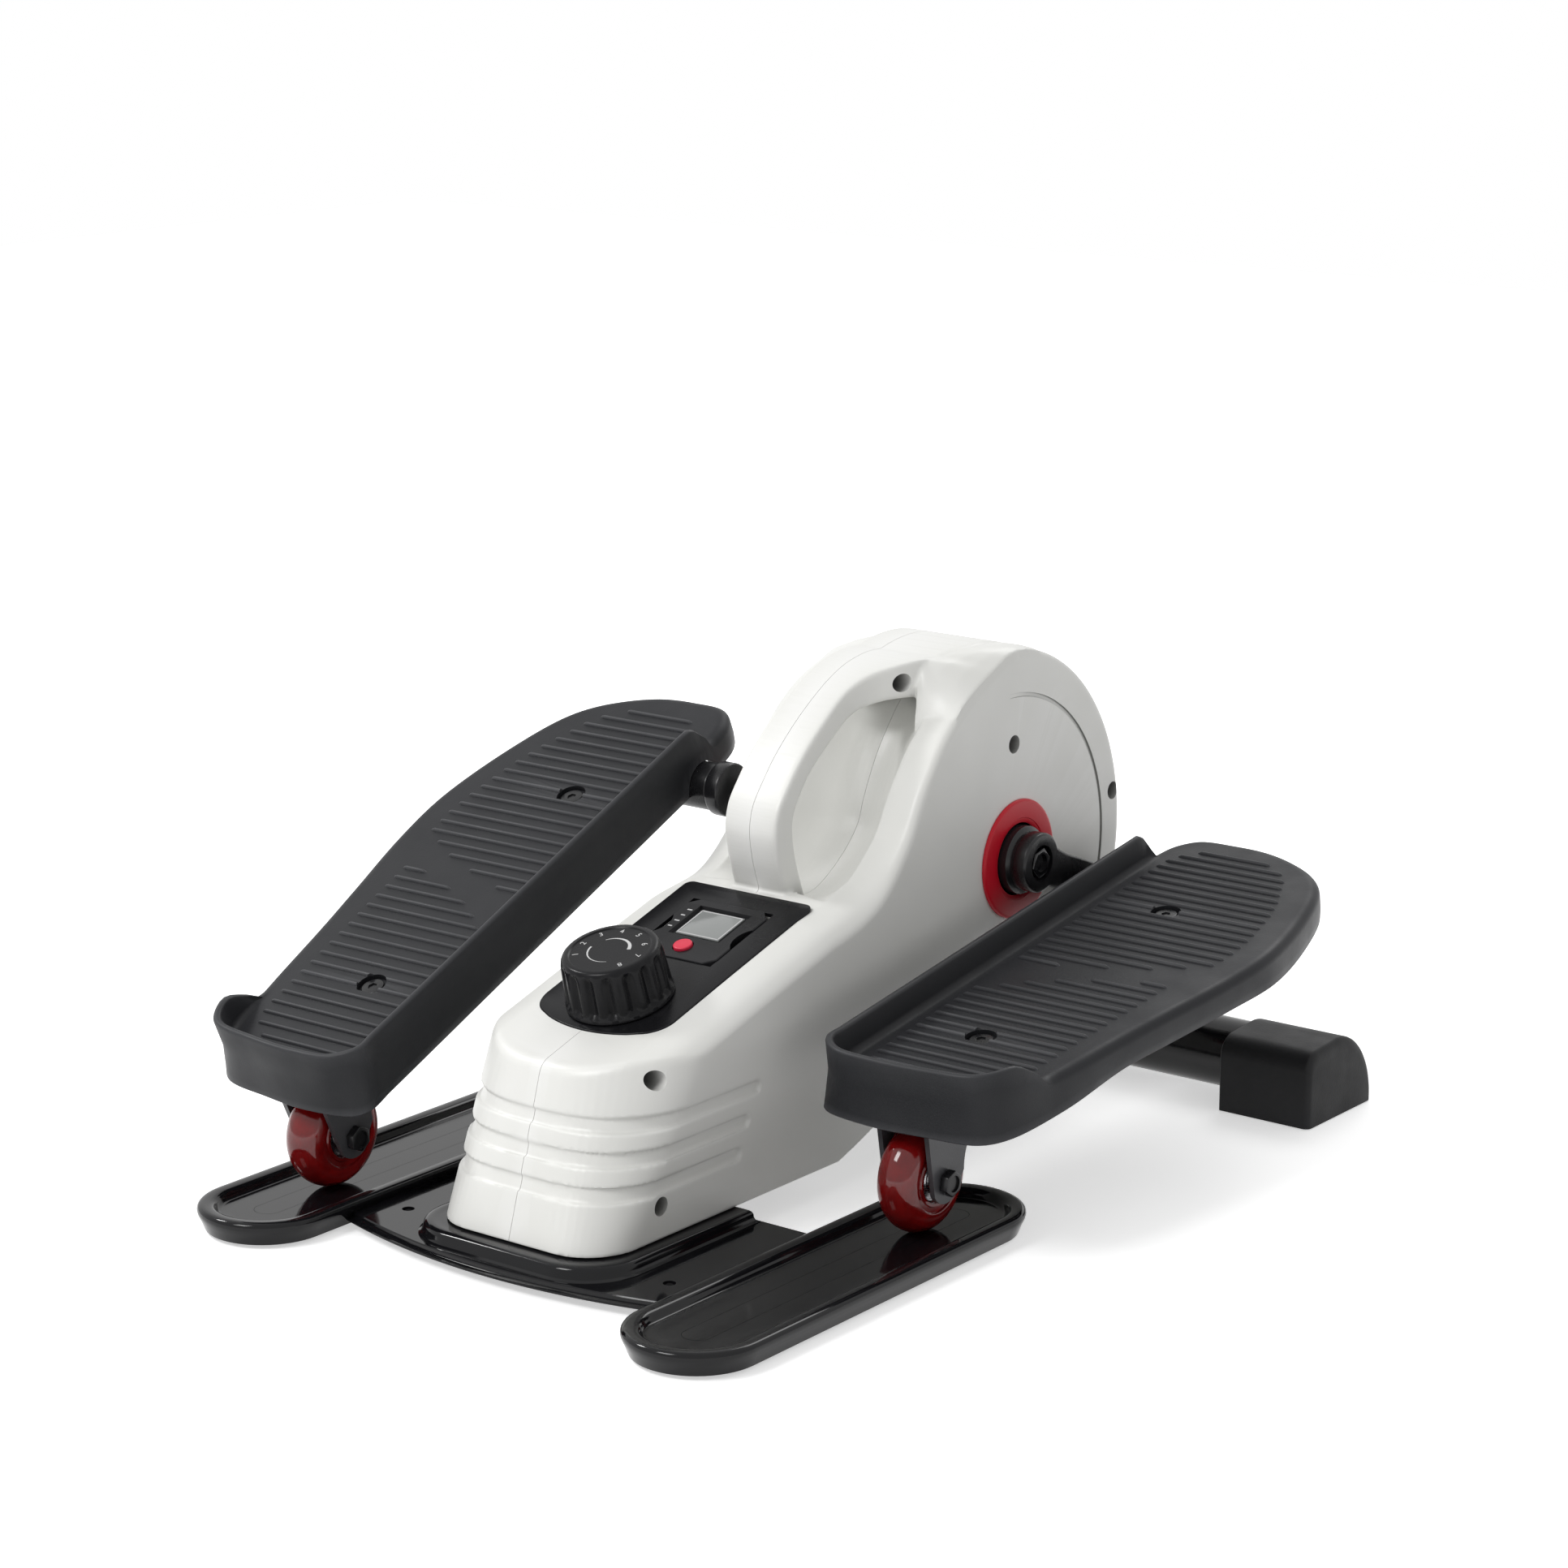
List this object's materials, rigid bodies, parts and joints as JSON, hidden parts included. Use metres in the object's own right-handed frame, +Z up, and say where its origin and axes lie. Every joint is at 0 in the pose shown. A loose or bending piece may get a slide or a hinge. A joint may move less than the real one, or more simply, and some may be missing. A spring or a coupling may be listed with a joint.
{
  "type": "mini elliptical trainer",
  "caption": "Low floor-standing pedal trainer: two footplates on rollers, driven by a crank in a drum-shaped housing with a carry grip, tension knob and display.",
  "frame": {"origin": "on the floor under the middle of the machine's bounding box", "axes": "+X to the right-hand side as the user sees it, +Y from the user's end with the roller tracks to the stabilizer bar, +Z up"},
  "size_m": [0.474, 0.599, 0.2856],
  "materials": {
    "housing_white": "satin moulded plastic",
    "gloss_black": "glossy black moulding",
    "tube_black": "glossy black powder coat",
    "footplate_grey": "fine matte texture",
    "roller_red": "smooth translucent urethane",
    "frame_black": "black satin paint",
    "bracket_grey": "dark grey satin paint",
    "bright_steel": "machined",
    "disc_red": "satin red plastic",
    "panel_black": "fine black satin",
    "lens_grey": "grey display window",
    "button_red": "satin red plastic",
    "rubber_black": "matte black rubber",
    "magnet_grey": "dark sintered magnet"
  },
  "bodies": {
    "base": {"base_tray": "gloss_black", "left_front_pad": "rubber_black", "left_rear_pad": "rubber_black", "right_front_pad": "rubber_black", "right_rear_pad": "rubber_black", "stabilizer_tube": "tube_black", "left_end_cap": "rubber_black", "right_end_cap": "rubber_black", "left_shell": "housing_white", "right_shell": "housing_white", "left_axle_disc": "disc_red", "right_axle_disc": "disc_red", "main_frame": "frame_black", "left_crank_bearing": "bright_steel", "right_crank_bearing": "bright_steel", "drive_belt": "rubber_black", "tension_cable": "rubber_black", "speed_sensor": "panel_black", "brake_pin": "bright_steel", "return_spring": "bright_steel", "console_panel": "panel_black", "display_module": "panel_black", "display_lens": "lens_grey", "housing_screw_1": "frame_black", "housing_screw_2": "frame_black", "housing_screw_3": "frame_black", "housing_screw_4": "frame_black", "housing_screw_5": "frame_black"},
    "crank": {"crank_axle": "bright_steel", "drive_pulley": "frame_black", "left_crank_arm": "frame_black", "right_crank_arm": "frame_black", "left_crank_bolt": "bright_steel", "right_crank_bolt": "bright_steel"},
    "flywheel_body": {"flywheel": "bright_steel", "flywheel_axle": "bright_steel", "flywheel_pulley": "frame_black"},
    "brake": {"magnet_bracket": "frame_black", "brake_magnet": "magnet_grey"},
    "knob": {"tension_knob": "panel_black"},
    "button": {"reset_button": "button_red"},
    "left_carriage": {"left_roller_bolt": "frame_black"},
    "left_wheel": {"left_roller_tyre": "roller_red", "left_roller_hub": "bright_steel"},
    "left_pedal": {"left_footplate": "footplate_grey", "left_pedal_rail": "frame_black", "left_roller_fork": "bracket_grey", "left_pedal_spindle": "frame_black", "left_toe_bolt": "frame_black", "left_heel_bolt": "frame_black"},
    "right_carriage": {"right_roller_bolt": "frame_black"},
    "right_wheel": {"right_roller_tyre": "roller_red", "right_roller_hub": "bright_steel"},
    "right_pedal": {"right_footplate": "footplate_grey", "right_pedal_rail": "frame_black", "right_roller_fork": "bracket_grey", "right_pedal_spindle": "frame_black", "right_toe_bolt": "frame_black", "right_heel_bolt": "frame_black"}
  },
  "joints": [
    {"name": "crank_turn", "type": "hinge", "parent": "base", "child": "crank", "pos_m": [0, 0.1375, 0.159], "axis": [1, 0, 0], "continuous": true},
    {"name": "flywheel_spin", "type": "hinge", "parent": "base", "child": "flywheel_body", "pos_m": [0, -0.0085, 0.094], "axis": [1, 0, 0], "continuous": true},
    {"name": "knob_turn", "type": "hinge", "parent": "base", "child": "knob", "pos_m": [0, -0.13943, 0.12832], "axis": [0, -0.2873, 0.9578], "range_deg": [-135, 135]},
    {"name": "brake_swing", "type": "hinge", "parent": "base", "child": "brake", "pos_m": [0, -0.0585, 0.056], "axis": [1, 0, 0], "range_deg": [-3, 3]},
    {"name": "button_press", "type": "slide", "parent": "base", "child": "button", "axis": [0, 0.2873, -0.9578], "range_m": [0, 0.0012], "stiffness_N_per_m": 200, "springref_m": -0.0005},
    {"name": "right_pedal_slide", "type": "slide", "parent": "base", "child": "right_carriage", "axis": [0, 1, 0], "range_m": [-0.17, 0.0315]},
    {"name": "right_pedal_tilt", "type": "hinge", "parent": "right_carriage", "child": "right_pedal", "pos_m": [0.15, -0.07069, 0.0409], "axis": [1, 0, 0], "range_deg": [-10.8, 25.4]},
    {"name": "right_wheel_spin", "type": "hinge", "parent": "right_carriage", "child": "right_wheel", "pos_m": [0.15, -0.07069, 0.0409], "axis": [1, 0, 0], "continuous": true},
    {"name": "left_pedal_slide", "type": "slide", "parent": "base", "child": "left_carriage", "axis": [0, 1, 0], "range_m": [-0.0315, 0.17]},
    {"name": "left_pedal_tilt", "type": "hinge", "parent": "left_carriage", "child": "left_pedal", "pos_m": [-0.15, -0.21, 0.0409], "axis": [1, 0, 0], "range_deg": [-25.4, 10.8]},
    {"name": "left_wheel_spin", "type": "hinge", "parent": "left_carriage", "child": "left_wheel", "pos_m": [-0.15, -0.21, 0.0409], "axis": [1, 0, 0], "continuous": true}
  ],
  "couplings": [
    {"joint": "flywheel_spin", "follows": "crank_turn", "ratio": 4.1429},
    {"joint": "brake_swing", "follows": "knob_turn", "ratio": -0.02},
    {"joint": "left_pedal_slide", "follows": "right_pedal_slide", "ratio": -1},
    {"joint": "left_pedal_tilt", "follows": "right_pedal_tilt", "ratio": -1},
    {"joint": "right_wheel_spin", "follows": "right_pedal_slide", "rad_per_m": -32.68},
    {"joint": "left_wheel_spin", "follows": "right_pedal_slide", "rad_per_m": 32.68}
  ]
}
